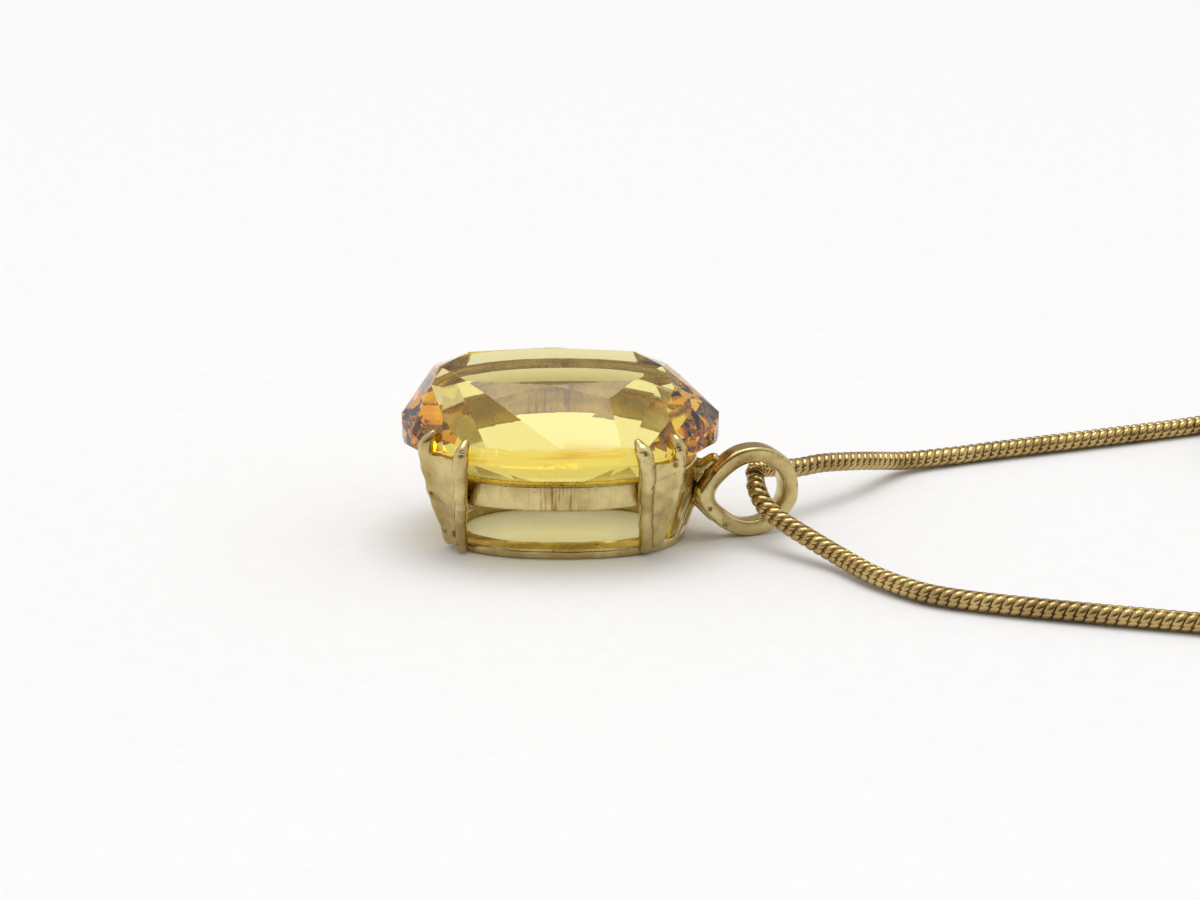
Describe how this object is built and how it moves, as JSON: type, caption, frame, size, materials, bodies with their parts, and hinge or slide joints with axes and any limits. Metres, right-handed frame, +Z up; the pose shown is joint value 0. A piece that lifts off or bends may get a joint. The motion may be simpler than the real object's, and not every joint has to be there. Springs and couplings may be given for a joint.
{
  "type": "pendant necklace",
  "caption": "Pendant necklace: faceted oval gem in a four-prong gallery setting with a soldered bail ring, on a snake chain with end caps, jump ring, lobster clasp and tag ring.",
  "frame": {"origin": "on the floor at the middle of the pendant's footprint, the pendant lying on its base rail", "axes": "+Z up through the gem's table, +X from the gem towards the bail ring and the chain, +Y away from the viewer"},
  "size_m": [0.0657, 0.038, 0.0087],
  "materials": {
    "gem": "clear pale yellow, polished facets",
    "setting_gold": "pale cast gold, softly polished",
    "chain_gold": "warm yellow gold, bright",
    "pin_steel": "fine drawn wire",
    "tie_paper": "matt white band"
  },
  "bodies": {
    "pendant": {"gem": "gem", "gallery_rail": "setting_gold", "base_rail": "setting_gold", "prong_front_left": "setting_gold", "prong_front_right": "setting_gold", "prong_back_left": "setting_gold", "prong_back_right": "setting_gold", "bail_neck": "setting_gold", "bail_ring": "setting_gold"},
    "chain": {"chain_front": "chain_gold", "chain_back": "chain_gold", "coil_front": "chain_gold", "coil_back": "chain_gold", "ties_front": "tie_paper", "ties_back": "tie_paper", "end_cap_front": "chain_gold", "end_cap_back": "chain_gold"},
    "jump_ring": {"jump_ring": "chain_gold"},
    "clasp": {"clasp_body": "chain_gold", "clasp_pin": "pin_steel", "clasp_spring": "pin_steel"},
    "clasp_lever": {"clasp_lever": "chain_gold"},
    "tag_ring": {"tag_ring": "chain_gold"}
  },
  "joints": [
    {"name": "bail_swing", "type": "hinge", "parent": "pendant", "child": "chain", "pos_m": [0.00785, -0.0006, 0.00295], "axis": [0, -1, 0], "range_deg": [-40, 90]},
    {"name": "jump_ring_swing", "type": "hinge", "parent": "chain", "child": "jump_ring", "pos_m": [0.053, -0.00272, 0.0008], "axis": [1, 0, 0], "range_deg": [-45, 12]},
    {"name": "clasp_swing", "type": "hinge", "parent": "jump_ring", "child": "clasp", "pos_m": [0.053, -0.00205, 0.0008], "axis": [1, 0, 0], "range_deg": [-45, 12]},
    {"name": "lever_pivot", "type": "hinge", "parent": "clasp", "child": "clasp_lever", "pos_m": [0.05435, 0.00187, 0.0008], "axis": [0, 0, 1], "range_deg": [0, 24], "stiffness_Nm_per_rad": 0.00002, "springref_deg": -9.74},
    {"name": "tag_ring_swing", "type": "hinge", "parent": "chain", "child": "tag_ring", "pos_m": [0.0495, 0.00272, 0.0008], "axis": [1, 0, 0], "range_deg": [-12, 60]}
  ]
}
